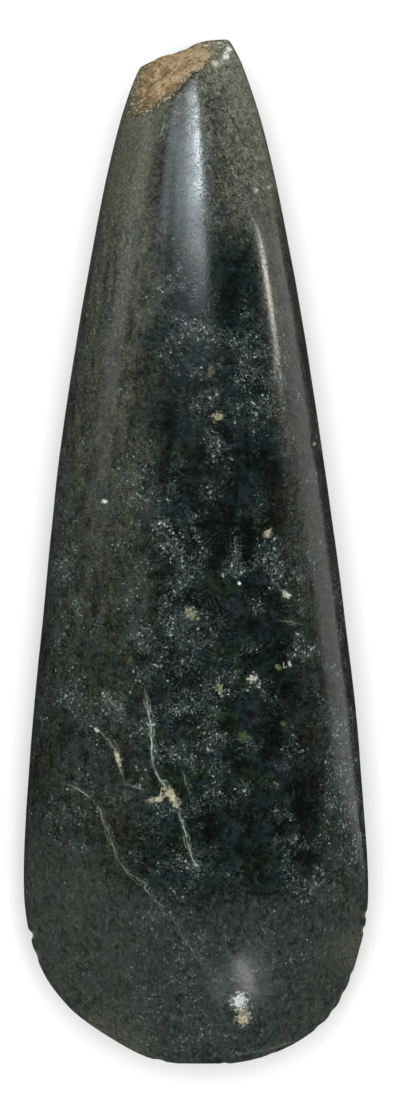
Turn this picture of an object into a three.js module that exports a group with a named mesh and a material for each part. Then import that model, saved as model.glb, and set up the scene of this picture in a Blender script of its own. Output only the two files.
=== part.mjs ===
import * as THREE from "three";

// A polished stone axe head: one teardrop of dark greenstone, ground and polished by hand, with a
// broken butt. It lies on its lower face, on a small flat spot. Millimetres, +Z up: +Y points to the
// narrow butt, -Y to the curved cutting edge, and +X to the right, seen from above with the butt up.
// The origin is on the table, under the middle of the head.

// Driving sizes.
const headLength = 180;
const bellyWidth = 60.4; // the widest place, at the corners of the cutting edge
const bellyThickness = 33.5; // the thickest place, before the resting flat is ground
const buttWidth = 14.6; // where the side tapers would meet the end of the butt
const buttThickness = 15;
const buttDome = 7; // how far the butt's round end would reach past the break
const edgeRounding = 0.25; // worn roundness of the cutting edge and the sides
const restFlatDepth = 0.6; // taken off the lower face, so that the head lies still
const breakDepth = 0.9; // how far the broken end falls short of the blunt end, on the middle line
const breakFacetReach = 3.4; // how far past the blunt end the break's left facet crosses mid thickness
const wornFacetReach = 25; // how far past the blunt end the worn flat on the right crosses it
const biteDepth = 0.55; // the flaked length of the cutting edge, left of its middle
const wearDepth = 0.2; // the worn length of the cutting edge, near its right corner
const facetSize = 3.1; // the usual side of one facet of the surface

// The outline, as shares. The tapers run from the end of the butt to the widest place, and grow from
// the butt's width to the belly's. The middle line drifts by a share of the belly's half width.
const widestAt = 0.824;
const sideTaper = [
  [0, 0],
  [0.108, 0.242],
  [0.249, 0.436],
  [0.462, 0.662],
  [0.674, 0.831],
  [0.849, 0.945],
  [1, 1],
];
const taperSlopeAtButt = 2.6;
const drift = [
  [0, -0.03],
  [0.38, -0.027],
  [0.56, -0.011],
  [0.824, 0],
  [0.91, 0.012],
  [0.965, 0.05],
  [1, 0.05],
];
const edgeFullness = 2.2; // 2 makes the cutting edge half an ellipse, and more makes it fuller

// The side view: faces that rise from the cutting edge and sink gently towards the butt.
const thickestAt = 0.6;
const bevelPower = 2.6;
const buttPower = 2.1;

// The cross-section: a full oval that turns into a lens at the cutting edge.
const sectionFullness = 2.12; // 2 makes it an ellipse, and more makes its shoulders fuller
const lensFrom = 0.64;
const lensFullAt = 1;

// The planes that end the butt. Heading turns from +Y towards -X, tilt is measured from level, and
// setBack is where the plane crosses the middle line, half way down the thickness. The first is the
// blunt end. The break follows: its left facet, its top facet, and its steep lower one. The last is
// the worn flat on the right of the butt.
const buttPlanes = [
  { heading: 0, tilt: 90, setBack: 0 },
  { heading: 45, tilt: 50, setBack: -breakFacetReach },
  { heading: 17, tilt: 57, setBack: breakDepth },
  { heading: 22, tilt: 88, setBack: breakDepth },
  { heading: -68, tilt: 41, setBack: -wornFacetReach },
];
const buttCentreAt = 0.1; // the point that the butt is trimmed towards, as a share of the length
const trimSharpness = 30;

// Worn and flaked lengths of the cutting edge. Angles are seen from the widest place, from straight
// ahead (-Y), and turn positive towards +X.
const edgeLosses = [
  { angle: -29, halfSpan: 16, depth: biteDepth },
  { angle: 68, halfSpan: 10, depth: wearDepth },
];
const edgeLossReach = 12; // the power by which a loss fades inwards from the edge

const rings = Math.round(headLength / facetSize);
const ringPoints = Math.round((Math.PI * (bellyWidth + bellyThickness)) / 2 / facetSize);
const halfLength = headLength / 2;
const widestDistance = widestAt * headLength;
const thickestDistance = thickestAt * headLength;
const middleHeight = bellyThickness / 2 - restFlatDepth;

function smoothStep(from, to, x) {
  const t = THREE.MathUtils.clamp((x - from) / (to - from), 0, 1);
  return t * t * (3 - 2 * t);
}

// A smooth curve through the stations [x, y], by cubic pieces whose slope at each station is the
// harmonic mean of the slopes beside it, so it never overshoots.
function smoothThrough(stations, firstSlope, lastSlope) {
  const slopes = stations
    .slice(1)
    .map(([x, y], i) => (y - stations[i][1]) / (x - stations[i][0]));
  const tangents = stations.map((_, i) => {
    if (i === 0) return firstSlope ?? slopes[0];
    if (i === slopes.length) return lastSlope ?? slopes[i - 1];
    const [before, after] = [slopes[i - 1], slopes[i]];
    return before * after <= 0 ? 0 : (2 * before * after) / (before + after);
  });
  return (x) => {
    const found = stations.findLastIndex(([start]) => x >= start);
    const i = THREE.MathUtils.clamp(found, 0, slopes.length - 1);
    const [x0, y0] = stations[i];
    const [x1, y1] = stations[i + 1];
    const span = x1 - x0;
    const t = (x - x0) / span;
    if (t < 0) return y0 + tangents[0] * (x - x0);
    const [t2, t3] = [t * t, t * t * t];
    return (
      (2 * t3 - 3 * t2 + 1) * y0 +
      (t3 - 2 * t2 + t) * span * tangents[i] +
      (3 * t2 - 2 * t3) * y1 +
      (t3 - t2) * span * tangents[i + 1]
    );
  };
}

const taperShare = smoothThrough(sideTaper, taperSlopeAtButt, 0);
const driftShare = smoothThrough(drift);

// The round end of the butt, from 0 at its tip to 1 where it joins the taper.
function domeShare(fromButt) {
  const reach = 1 - (fromButt + buttDome) / (1.7 * buttDome);
  return reach > 0 ? Math.sqrt(Math.max(0, 1 - reach * reach)) : 1;
}

function halfWidthAt(fromButt) {
  const belly = bellyWidth / 2;
  const butt = buttWidth / 2;
  if (fromButt > widestDistance) {
    const t = (fromButt - widestDistance) / (headLength - widestDistance);
    return belly * Math.pow(Math.max(0, 1 - Math.pow(t, edgeFullness)), 1 / edgeFullness);
  }
  const grown = butt + (belly - butt) * taperShare(fromButt / widestDistance);
  return grown * domeShare(fromButt);
}

function halfThicknessAt(fromButt) {
  const belly = bellyThickness / 2;
  const butt = buttThickness / 2;
  if (fromButt > thickestDistance) {
    const t = (headLength - fromButt) / (headLength - thickestDistance);
    return belly * (1 - Math.pow(1 - Math.max(0, t), bevelPower));
  }
  const t = 1 - fromButt / thickestDistance;
  return (belly - (belly - butt) * Math.pow(t, buttPower)) * domeShare(fromButt);
}

// One point of the cross-section, in shares of the half width and half thickness. The body is the
// curve where across^n + up^n is 1, and the cutting edge is a lens, 1 - across^2.
function sectionPoint(turn, alongShare) {
  const [across, up] = [Math.cos(turn), Math.sin(turn)];
  const n = sectionFullness;
  const radius = Math.pow(Math.pow(Math.abs(across), n) + Math.pow(Math.abs(up), n), -1 / n);
  const lens = smoothStep(lensFrom, lensFullAt, alongShare);
  return {
    across: THREE.MathUtils.lerp(radius * across, across, lens),
    up: THREE.MathUtils.lerp(radius * up, up * Math.abs(up), lens),
  };
}

// A point of the whole, unbroken head. Here z is 0 at mid thickness.
function bodyPoint(fromButt, turn) {
  const alongShare = fromButt / headLength;
  const section = sectionPoint(turn, alongShare);
  const middle = (bellyWidth / 2) * driftShare(alongShare);
  return new THREE.Vector3(
    middle + halfWidthAt(fromButt) * section.across,
    halfLength - fromButt,
    halfThicknessAt(fromButt) * section.up + edgeRounding * Math.sin(turn),
  );
}

const buttCentre = new THREE.Vector3(
  (bellyWidth / 2) * driftShare(buttCentreAt),
  halfLength - buttCentreAt * headLength,
  0,
);

const trims = buttPlanes.map(({ heading, tilt, setBack }) => {
  const normal = new THREE.Vector3(0, 0, 1)
    .applyAxisAngle(new THREE.Vector3(1, 0, 0), -THREE.MathUtils.degToRad(tilt))
    .applyAxisAngle(new THREE.Vector3(0, 0, 1), THREE.MathUtils.degToRad(heading));
  const onPlane = new THREE.Vector3(buttCentre.x, halfLength - setBack, 0);
  return { normal, distance: onPlane.sub(buttCentre).dot(normal) };
});

// Draws a point that lies past a plane of the butt back towards the butt's centre, onto the plane.
function trimButt(point) {
  const ray = point.clone().sub(buttCentre);
  const past = trims.map(({ normal, distance }) => Math.max(0, ray.dot(normal) / distance));
  const sum = past.reduce((total, share) => total + Math.pow(share, trimSharpness), 1);
  return buttCentre.clone().addScaledVector(ray, Math.pow(sum, -1 / trimSharpness));
}

// Moves the points near a flaked length of the cutting edge inwards.
function loseEdge(point, edgeShare) {
  const widestY = halfLength - widestDistance;
  const angle = THREE.MathUtils.radToDeg(Math.atan2(point.x, widestY - point.y));
  const radius = Math.hypot(point.x, widestY - point.y);
  const depth = edgeLosses.reduce((total, loss) => {
    const t = (angle - loss.angle) / loss.halfSpan;
    return total + (Math.abs(t) < 1 ? loss.depth * Math.pow(1 - t * t, 2) : 0);
  }, 0);
  const inwards = depth * Math.pow(edgeShare, edgeLossReach);
  point.x *= 1 - inwards / Math.max(radius, inwards, 1);
  point.y += (inwards * (widestY - point.y)) / Math.max(radius, 1);
  return point;
}

// How near a point is to the cutting edge: 1 on it, and 0 at the widest place's middle.
function edgeShareOf(fromButt, turn) {
  const t = (fromButt - widestDistance) / (headLength - widestDistance);
  if (t <= 0) return 0;
  const across = (Math.cos(turn) * halfWidthAt(fromButt)) / (bellyWidth / 2);
  return Math.pow(Math.pow(t, edgeFullness) + Math.pow(Math.abs(across), edgeFullness), 1 / edgeFullness);
}

function surfacePoint(fromButt, turn) {
  const point = loseEdge(trimButt(bodyPoint(fromButt, turn)), edgeShareOf(fromButt, turn));
  point.z = Math.max(0, point.z + middleHeight);
  return point;
}

// A closed mesh: one point at each end, and rings between them that crowd towards both ends.
function headGeometry() {
  const start = -buttDome;
  const points = [surfacePoint(start, 0)];
  for (let i = 1; i < rings; i += 1) {
    const share = (1 - Math.cos((Math.PI * i) / rings)) / 2;
    const fromButt = start + (headLength - start) * share;
    for (let j = 0; j < ringPoints; j += 1)
      points.push(surfacePoint(fromButt, (2 * Math.PI * j) / ringPoints));
  }
  points.push(surfacePoint(headLength, 0));

  const faces = [];
  const at = (ring, j) => 1 + (ring - 1) * ringPoints + (j % ringPoints);
  for (let j = 0; j < ringPoints; j += 1) {
    faces.push(0, at(1, j + 1), at(1, j));
    for (let i = 1; i < rings - 1; i += 1) {
      faces.push(at(i, j), at(i, j + 1), at(i + 1, j));
      faces.push(at(i, j + 1), at(i + 1, j + 1), at(i + 1, j));
    }
    faces.push(points.length - 1, at(rings - 1, j), at(rings - 1, j + 1));
  }
  const geometry = new THREE.BufferGeometry().setFromPoints(points);
  geometry.setIndex(faces);
  geometry.computeBoundingBox();
  const centre = geometry.boundingBox.getCenter(new THREE.Vector3());
  geometry.translate(-centre.x, -centre.y, 0);
  geometry.computeVertexNormals();
  return geometry;
}

const greenstone = new THREE.MeshStandardMaterial({
  color: 0x2a302c,
  roughness: 0.25,
  metalness: 0,
});

const axeHead = new THREE.Mesh(headGeometry(), greenstone);
axeHead.name = "axe_head";

const part = new THREE.Group();
part.add(axeHead);

export default part;
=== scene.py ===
import math

import bpy
import numpy as np
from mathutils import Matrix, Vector


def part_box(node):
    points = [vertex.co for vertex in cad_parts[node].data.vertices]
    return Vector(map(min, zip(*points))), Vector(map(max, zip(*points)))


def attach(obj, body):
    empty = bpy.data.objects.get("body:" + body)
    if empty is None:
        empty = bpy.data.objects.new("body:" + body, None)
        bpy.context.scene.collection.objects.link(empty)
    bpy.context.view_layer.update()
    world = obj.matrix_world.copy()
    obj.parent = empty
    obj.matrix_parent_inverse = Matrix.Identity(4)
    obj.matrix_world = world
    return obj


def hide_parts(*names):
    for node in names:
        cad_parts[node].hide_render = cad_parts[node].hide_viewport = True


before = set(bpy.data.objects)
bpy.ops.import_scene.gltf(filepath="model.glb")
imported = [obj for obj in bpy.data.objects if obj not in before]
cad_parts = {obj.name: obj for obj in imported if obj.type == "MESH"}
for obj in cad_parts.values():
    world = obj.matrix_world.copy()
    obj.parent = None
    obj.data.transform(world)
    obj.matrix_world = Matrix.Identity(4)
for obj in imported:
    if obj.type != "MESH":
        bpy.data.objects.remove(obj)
solid_low, solid_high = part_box("axe_head")
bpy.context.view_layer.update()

bl_info = {
    "name": "Polished Stone Axe Head",
    "version": (1, 0, 0),
    "blender": (4, 5, 0),
    "location": "3D View > Sidebar > Stone Axe",
    "description": "Makes a ground and polished greenstone axe head, and a pale table with soft light",
    "category": "Add Mesh",
}

MM = 0.001
REST_FLAT_DEPTH = 0.6 * MM
EDGE_ROUNDING = 0.25 * MM
SOLID_LENGTH = solid_high[1] - solid_low[1]
SOLID_WIDTH = solid_high[0] - solid_low[0]
SOLID_THICKNESS = solid_high[2] - solid_low[2] + REST_FLAT_DEPTH - EDGE_ROUNDING


def stone_number(name, description, default, **more):
    """A number that a user can change."""
    return bpy.props.FloatProperty(name=name, description=description, default=default, **more)


def stone_length(name, description, default):
    return stone_number(name, description, default, unit="LENGTH")


class StoneShape(bpy.types.PropertyGroup):
    length: stone_length("Length", "From the butt to the cutting edge", SOLID_LENGTH)
    width: stone_length("Width", "At the corners of the cutting edge", SOLID_WIDTH)
    thickness: stone_length("Thickness", "At the thickest place, before the flat is ground", SOLID_THICKNESS)
    butt_width: stone_length("Butt width", "Where the side tapers would meet the end of the butt", 14.6 * MM)
    butt_thickness: stone_length("Butt thickness", "Where the faces would meet the end of the butt", 15 * MM)
    rest_flat: stone_length("Resting flat", "Depth ground off the lower face", REST_FLAT_DEPTH)
    waviness: stone_length("Waviness", "Height of the unevenness that hand grinding leaves", 0.05 * MM)
    break_relief: stone_length("Break relief", "Height of the lumps on the broken butt", 0.55 * MM)


def stone_tint(name, what, default):
    """A colour that a user can change."""
    description = "Colour of the " + what
    return bpy.props.FloatVectorProperty(
        name=name, description=description, subtype="COLOR", default=default
    )


class StoneFinish(bpy.types.PropertyGroup):
    ground: stone_tint("Ground", "dark stone between the grains", (0.0024, 0.0042, 0.0036))
    green: stone_tint("Green", "green clouds", (0.0075, 0.0140, 0.0065))
    blue: stone_tint("Blue", "blue-green clouds", (0.0065, 0.0148, 0.0158))
    violet: stone_tint("Violet", "violet-grey clouds", (0.0130, 0.0155, 0.0190))
    shade: stone_tint("Shade", "nearly black gaps between grains", (0.0010, 0.0016, 0.0013))
    fibre: stone_tint("Fibre", "fine needles in the stone", (0.025, 0.036, 0.031))
    speck: stone_tint("Speck", "pale flecks", (0.36, 0.41, 0.40))
    grain: stone_tint("Grain", "grey grains", (0.076, 0.096, 0.089))
    vein: stone_tint("Vein", "pale veins", (0.30, 0.37, 0.29))
    cream: stone_tint("Cream", "cream inclusions", (0.46, 0.41, 0.28))
    moss: stone_tint("Yellow green", "yellow-green inclusions", (0.15, 0.19, 0.06))
    # Patina: the brown film on the shoulders. It is made lighter as a painted sheen where the shoulders catch
    # the side lights.
    patina_and_sheen: stone_tint("Patina", "brown film on the shoulders", (0.055, 0.055, 0.040))
    # Blade: greyer stone along the cutting edge. It is partly a painted sheen where the bevel catches light.
    blade: stone_tint("Blade", "greyer stone along the cutting edge", (0.029, 0.0345, 0.0325))
    dust: stone_tint("Dust", "scratched, dusty side of the butt", (0.165, 0.160, 0.122))
    rust: stone_tint("Rust", "Reddish colour of the weathered break", (0.31, 0.175, 0.072))
    tan: stone_tint("Tan", "Pale colour of the weathered break", (0.52, 0.39, 0.205))
    olive: stone_tint("Olive", "dirt in the break", (0.09, 0.085, 0.045))
    lichen: stone_tint("Grey green", "right end of the break", (0.22, 0.23, 0.16))
    crust: stone_tint("Crust", "white crusts and spalls", (0.74, 0.76, 0.71))
    glint: stone_tint("Glint", "pale crystals and crusts on the break", (0.82, 0.76, 0.60))
    gloss: stone_number("Roughness", "Roughness of the polished faces", 0.18, min=0, max=1)


class TableSettings(bpy.types.PropertyGroup):
    floor_colour: stone_tint("Table", "pale table", (0.92, 0.92, 0.91))
    side_light: stone_number("Lamps", "Brightness of all lamps but the overhead one", 1.0, min=0)
    fill_light: stone_number("Fill light", "Brightness of the overhead light, not reflected", 4.95, min=0)
    lens: stone_number("Lens", "Focal length of the camera, in millimetres", 120, unit="CAMERA")


# The outline and the side view, as shares of the length and of the belly's half width.
WIDEST_AT = 0.824
SIDE_TAPER = ((0, 0), (0.108, 0.242), (0.249, 0.436), (0.462, 0.662), (0.674, 0.831), (0.849, 0.945), (1, 1))
TAPER_SLOPE_AT_BUTT = 2.6
DRIFT = ((0, -0.03), (0.38, -0.027), (0.56, -0.011), (0.824, 0), (0.91, 0.012), (0.965, 0.05), (1, 0.05))
EDGE_FULLNESS = 2.2
THICKEST_AT = 0.6
BEVEL_POWER = 2.6
BUTT_POWER = 2.1
BUTT_DOME = 7 * MM
DOME_REACH = 1.7 * BUTT_DOME

# The cross-section: a full oval that turns into a lens at the cutting edge.
SECTION_FULLNESS = 2.12
LENS_FROM = 0.64
LENS_FULL_AT = 1.0

# The planes that end the butt: heading in degrees from +Y towards -X, tilt in degrees from level,
# and the distance by which it is set back from the blunt end, on the middle line.
BLUNT_END = (0, 90, 0)
BREAK_PLANES = ((45, 50, -3.4 * MM), (17, 57, 0.9 * MM), (22, 88, 0.9 * MM))
WORN_FLAT = (-68, 41, -25 * MM)
BUTT_CENTRE_AT = 0.1
TRIM_SHARPNESS = 70

# The break's lumps: share of the relief, cell and random seed. They start at the rim, are full
# at a small depth, and sink the break by a share of the relief.
BREAK_LUMPS = ((0.6, 3.4 * MM, 11), (0.3, 1.5 * MM, 12), (0.16, 0.7 * MM, 13))
LUMPS_FULL_AT = 0.8 * MM
BREAK_SINK = 0.25

# The ground faces' waves: share of the waviness, cell and random seed.
GRINDING_WAVES = ((1, 14 * MM, 31), (0.6, 6 * MM, 32))

# How far from the butt side of the widest place the sides start to count as edge, the distance
# from the blade's centre below which nothing is pulled further, and how fast flaking turns pale.
EDGE_STARTS_BEFORE = 12 * MM
NO_PULL_WITHIN = 5 * MM
PALE_GAIN = 3

# Flaked and worn lengths of the cutting edge: angle from -Y towards +X and half span in degrees,
# depth in millimetres, the power by which the loss fades inwards from the edge, and how pale it is.
EDGE_LOSSES = (
    (-29, 16, 0.55, 12, 0.15),
    (68, 10, 0.2, 12, 0.2),
    (-73, 2.0, 0.6, 60, 0.8),
    (-66, 2.5, 0.2, 60, 0.4),
    (80, 1.8, 0.3, 90, 1.0),
    (75, 1.8, 0.35, 90, 1.0),
    (60, 2.2, 0.2, 90, 0.1),
    (53, 2.4, 0.2, 90, 0.2),
    (47, 2.4, 0.22, 90, 0.1),
    (41, 2.2, 0.18, 90, 0.1),
    (-12, 1.8, 0.25, 90, 0.2),
    (-40, 2.0, 0.15, 90, 0.1),
    (9, 1.6, 0.2, 90, 0.1),
    (24, 2.0, 0.12, 90, 0.1),
)

# The grid of the stone's surface.
RINGS = 330
UPPER_POINTS = 180
LOWER_POINTS = 110
EVEN_SHARE = 0.45


def smooth_step(low, high, x):
    """0 below low, 1 above high, and 3t^2 - 2t^3 between them."""
    t = np.clip((x - low) / (high - low), 0, 1)
    return t * t * (3 - 2 * t)


def smooth_through(stations, x, first_slope=None, last_slope=None):
    """A curve through the stations: cubic pieces whose slope at each station is the harmonic mean
    of the slopes beside it."""
    xs, ys = np.array(stations, dtype=float).T
    spans = np.diff(xs)
    slopes = np.diff(ys) / spans
    before, after = slopes[:-1], slopes[1:]
    product = before * after
    inner = np.where(product > 0, 2 * product / np.where(product > 0, before + after, 1), 0)
    first = slopes[0] if first_slope is None else first_slope
    last = slopes[-1] if last_slope is None else last_slope
    tangents = np.concatenate([[first], inner, [last]])
    i = np.clip(np.searchsorted(xs, x, side="right") - 1, 0, len(spans) - 1)
    t = (x - xs[i]) / spans[i]
    curve = (
        (2 * t**3 - 3 * t**2 + 1) * ys[i]
        + (t**3 - 2 * t**2 + t) * spans[i] * tangents[i]
        + (3 * t**2 - 2 * t**3) * ys[i + 1]
        + (t**3 - t**2) * spans[i] * tangents[i + 1]
    )
    return np.where(x < xs[0], ys[0] + tangents[0] * (x - xs[0]), curve)


def lattice_noise(points, cell, seed):
    """Smooth random heights from -1 to 1. Each corner of a cubic lattice has a random height, and
    inside a cell they are blended by 3t^2 - 2t^3 along each axis."""
    size = 32
    heights = np.random.default_rng(seed).uniform(-1, 1, (size, size, size))
    place = points / cell
    corner = np.floor(place).astype(int)
    t = place - corner
    t = t * t * (3 - 2 * t)
    total = np.zeros(points.shape[:-1])
    for step in np.ndindex(2, 2, 2):
        i, j, k = ((corner[..., axis] + step[axis]) % size for axis in range(3))
        share = np.ones(points.shape[:-1])
        for axis in range(3):
            share = share * (t[..., axis] if step[axis] else 1 - t[..., axis])
        total += share * heights[i, j, k]
    return total


def layered_noise(points, layers):
    """Lattice noises added up, each times its share."""
    return sum(share * lattice_noise(points, cell, seed) for share, cell, seed in layers)


def dome_share(from_butt):
    """A quarter circle, from 0 at the tip of the butt's round end to 1 where it joins the taper."""
    reach = np.clip(1 - (from_butt + BUTT_DOME) / DOME_REACH, 0, 1)
    return np.sqrt(1 - reach**2)


def half_width(shape, from_butt):
    """The side taper down to the widest place, and then a superellipse round the cutting edge."""
    belly, butt = shape.width / 2, shape.butt_width / 2
    widest = WIDEST_AT * shape.length
    taper = smooth_through(SIDE_TAPER, from_butt / widest, TAPER_SLOPE_AT_BUTT, 0)
    body = (butt + (belly - butt) * taper) * dome_share(from_butt)
    t = np.clip((from_butt - widest) / (shape.length - widest), 0, 1)
    blade = belly * (1 - t**EDGE_FULLNESS) ** (1 / EDGE_FULLNESS)
    return np.where(from_butt > widest, blade, body)


def half_thickness(shape, from_butt):
    """Faces that rise from the cutting edge as 1 - (1 - t)^n, and sink to the butt as 1 - t^n."""
    belly, butt = shape.thickness / 2, shape.butt_thickness / 2
    thickest = THICKEST_AT * shape.length
    rise = np.clip((shape.length - from_butt) / (shape.length - thickest), 0, 1)
    blade = belly * (1 - (1 - rise) ** BEVEL_POWER)
    sink = np.clip(1 - from_butt / thickest, 0, None)
    body = (belly - (belly - butt) * sink**BUTT_POWER) * dome_share(from_butt)
    return np.where(from_butt > thickest, blade, body)


def section(turn, along):
    """Across and up, in shares of the half width and half thickness. The body is the curve where
    |across|^n + |up|^n is 1, and the cutting edge is a lens, up = 1 - across^2."""
    across, up = np.cos(turn), np.sin(turn)
    n = SECTION_FULLNESS
    radius = (np.abs(across) ** n + np.abs(up) ** n) ** (-1 / n)
    lens = smooth_step(LENS_FROM, LENS_FULL_AT, along)
    return (
        radius * across * (1 - lens) + across * lens,
        radius * up * (1 - lens) + up * np.abs(up) * lens,
    )


def butt_trims(shape):
    """The point that the butt is trimmed towards, and each plane's normal and distance from it."""
    middle = shape.width / 2 * smooth_through(DRIFT, np.array(BUTT_CENTRE_AT))
    centre = np.array([middle, shape.length * (0.5 - BUTT_CENTRE_AT), 0])
    trims = []
    for heading, tilt, set_back in (BLUNT_END, *BREAK_PLANES, WORN_FLAT):
        h, t = math.radians(heading), math.radians(tilt)
        normal = np.array([-math.sin(h) * math.sin(t), math.cos(h) * math.sin(t), math.cos(t)])
        on_plane = np.array([middle, shape.length / 2 - set_back, 0])
        trims.append((normal, float((on_plane - centre) @ normal)))
    return centre, trims


def trim_butt(shape, points):
    """Draws what lies past a plane of the butt back along its ray, and roughens the broken part.
    Also returns how far past the break each point was, in metres, negative inside."""
    centre, trims = butt_trims(shape)
    ray = points - centre
    past = [np.clip(ray @ normal / distance, 0, None) for normal, distance in trims]
    keep = (1 + sum(share**TRIM_SHARPNESS for share in past)) ** (-1 / TRIM_SHARPNESS)
    trimmed = centre + ray * keep[..., None]
    broken = np.max(past[1:-1], axis=0)
    whole = np.maximum(1, np.maximum(past[0], past[-1]))
    depth = np.linalg.norm(ray, axis=-1) * (broken - whole) / np.maximum(broken, 1)
    inside = smooth_step(0, LUMPS_FULL_AT, depth)
    push = shape.break_relief * (layered_noise(trimmed, BREAK_LUMPS) - BREAK_SINK) * inside
    length = np.linalg.norm(trimmed - centre, axis=-1)
    return centre + (trimmed - centre) * (1 + push / length)[..., None], depth


def edge_share(shape, from_butt, turn):
    """1 on the cutting edge and 0 at the widest place's middle, by the blade's superellipse."""
    widest = WIDEST_AT * shape.length
    t = np.clip((from_butt - widest) / (shape.length - widest), 0, 1)
    across = np.abs(np.cos(turn)) * half_width(shape, from_butt) / (shape.width / 2)
    share = (t**EDGE_FULLNESS + across**EDGE_FULLNESS) ** (1 / EDGE_FULLNESS)
    side = across * smooth_step(widest - EDGE_STARTS_BEFORE, widest, from_butt)
    return np.where(from_butt > widest, share, side)


def lose_edge(shape, points, share):
    """Moves the points near each flaked length of the edge inwards, by (1 - t^2)^2 of its depth.
    Also returns how pale the flaking makes each point."""
    below = shape.length * (WIDEST_AT - 0.5) + points[..., 1]
    angle = np.degrees(np.arctan2(points[..., 0], -below))
    radius = np.hypot(points[..., 0], below)
    inwards = np.zeros(radius.shape)
    pale = np.zeros(radius.shape)
    for middle, half_span, loss, reach, paleness in EDGE_LOSSES:
        t = np.clip(np.abs(angle - middle) / half_span, 0, 1)
        flake = (1 - t * t) ** 2 * share**reach
        inwards = np.maximum(inwards, loss * MM * flake)
        pale = np.maximum(pale, paleness * np.clip(PALE_GAIN * flake, 0, 1))
    pull = inwards / np.maximum(radius, NO_PULL_WITHIN)
    moved = points.copy()
    moved[..., 0] -= points[..., 0] * pull
    moved[..., 1] -= below * pull
    return moved, pale


def surface_normals(points):
    """The cross product of the grid's two directions, as unit vectors that point outwards."""
    along = np.gradient(points, axis=0)
    around = (np.roll(points, -1, axis=1) - np.roll(points, 1, axis=1)) / 2
    normal = np.cross(around, along)
    return normal / np.maximum(np.linalg.norm(normal, axis=-1, keepdims=True), 1e-12)


# Small hollows in the polished faces: place in millimetres from the middle of the head, radius,
# and depth. The first two are the spall near the cutting edge.
HOLLOWS = (
    (7.8, -78.5, 1.3, 0.45),
    (8.4, -80.8, 1.2, 0.5),
    (10.4, 62.7, 0.7, 0.2),
    (12.7, 63.6, 0.5, 0.15),
    (4.9, 53.0, 0.6, 0.12),
    (-15.7, 8.7, 0.5, 0.2),
    (12.3, 3.3, 0.8, 0.12),
    (15.5, -7.3, 0.7, 0.12),
    (9.6, -21.5, 0.9, 0.15),
    (-17.0, -23.7, 0.7, 0.15),
    (-5.1, -42.0, 1.6, 0.12),
    (20.4, 18.9, 0.5, 0.2),
)


def hollow_depth(points):
    """Round hollows in the upper face, each (1 - t^2)^2 deep."""
    depth = np.zeros(points.shape[:-1])
    ragged = 1 + 0.35 * lattice_noise(points, 0.9 * MM, 21)
    for x, y, radius, hollow in HOLLOWS:
        distance = np.hypot(points[..., 0] - x * MM, points[..., 1] - y * MM)
        t = np.clip(distance * ragged / (radius * MM), 0, 1)
        depth = np.maximum(depth, hollow * MM * (1 - t * t) ** 2)
    return np.where(points[..., 2] > 0, depth, 0)


def stone_surface(shape):
    """The whole head on a grid: rings from the butt to the cutting edge, by points round it. Each
    point is half width and half thickness times the section, trimmed, flaked, waved and hollowed."""
    i = np.arange(RINGS + 1) / RINGS
    crowded = (1 - np.cos(np.pi * i)) / 2
    share = EVEN_SHARE * i + (1 - EVEN_SHARE) * crowded
    from_butt = (-BUTT_DOME + (shape.length + BUTT_DOME) * share)[:, None]
    upper = np.pi * np.arange(UPPER_POINTS) / UPPER_POINTS
    lower = np.pi + np.pi * np.arange(LOWER_POINTS) / LOWER_POINTS
    turn = np.concatenate([upper, lower])[None, :]
    along = from_butt / shape.length
    across, up = section(turn, along)
    middle = shape.width / 2 * smooth_through(DRIFT, along)
    ends = np.ones_like(from_butt)
    ends[[0, -1]] = 0
    points = np.stack(
        [
            middle + half_width(shape, from_butt) * across,
            shape.length / 2 - from_butt + np.zeros_like(turn),
            half_thickness(shape, from_butt) * up + EDGE_ROUNDING * np.sin(turn) * ends,
        ],
        axis=-1,
    )
    points, depth = trim_butt(shape, points)
    points, flaked = lose_edge(shape, points, edge_share(shape, from_butt, turn))
    wave = shape.waviness * layered_noise(points, GRINDING_WAVES)
    relief = (wave - hollow_depth(points)) * ends
    points = points + surface_normals(points) * relief[..., None]
    points[..., 2] = np.maximum(0, points[..., 2] + shape.thickness / 2 - shape.rest_flat)
    return points, depth, flaked


def closed_grid_faces(rings, around):
    """Quads between neighbouring rings, and a fan of triangles at each end. The end points don't
    count as rings, but one ring more than there are is asked for."""
    j = np.arange(around)
    after = (j + 1) % around
    ring = 1 + np.arange(rings - 2)[:, None] * around
    quads = np.stack([ring + j, ring + after, ring + around + after, ring + around + j], axis=-1)
    last = 1 + (rings - 2) * around
    first_fan = np.stack([np.zeros(around, int), 1 + after, 1 + j], axis=-1)
    last_fan = np.stack([np.full(around, last + around), last + j, last + after], axis=-1)
    return quads.reshape(-1, 4), np.concatenate([first_fan, last_fan])


def mesh_from_arrays(name, points, quads, triangles):
    """A smooth-shaded mesh object from whole arrays."""
    mesh = bpy.data.meshes.new(name)
    mesh.vertices.add(len(points))
    mesh.vertices.foreach_set("co", points.astype(np.float32).ravel())
    corners = np.concatenate([quads.ravel(), triangles.ravel()])
    sizes = np.concatenate([np.full(len(quads), 4), np.full(len(triangles), 3)])
    mesh.loops.add(len(corners))
    mesh.loops.foreach_set("vertex_index", corners.astype(np.int32))
    mesh.polygons.add(len(sizes))
    starts = np.concatenate([[0], np.cumsum(sizes)[:-1]])
    mesh.polygons.foreach_set("loop_start", starts.astype(np.int32))
    mesh.polygons.foreach_set("use_smooth", np.ones(len(sizes), dtype=bool))
    mesh.update(calc_edges=True)
    mesh.validate()
    made = bpy.data.objects.new(name, mesh)
    bpy.context.scene.collection.objects.link(made)
    return made


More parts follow.
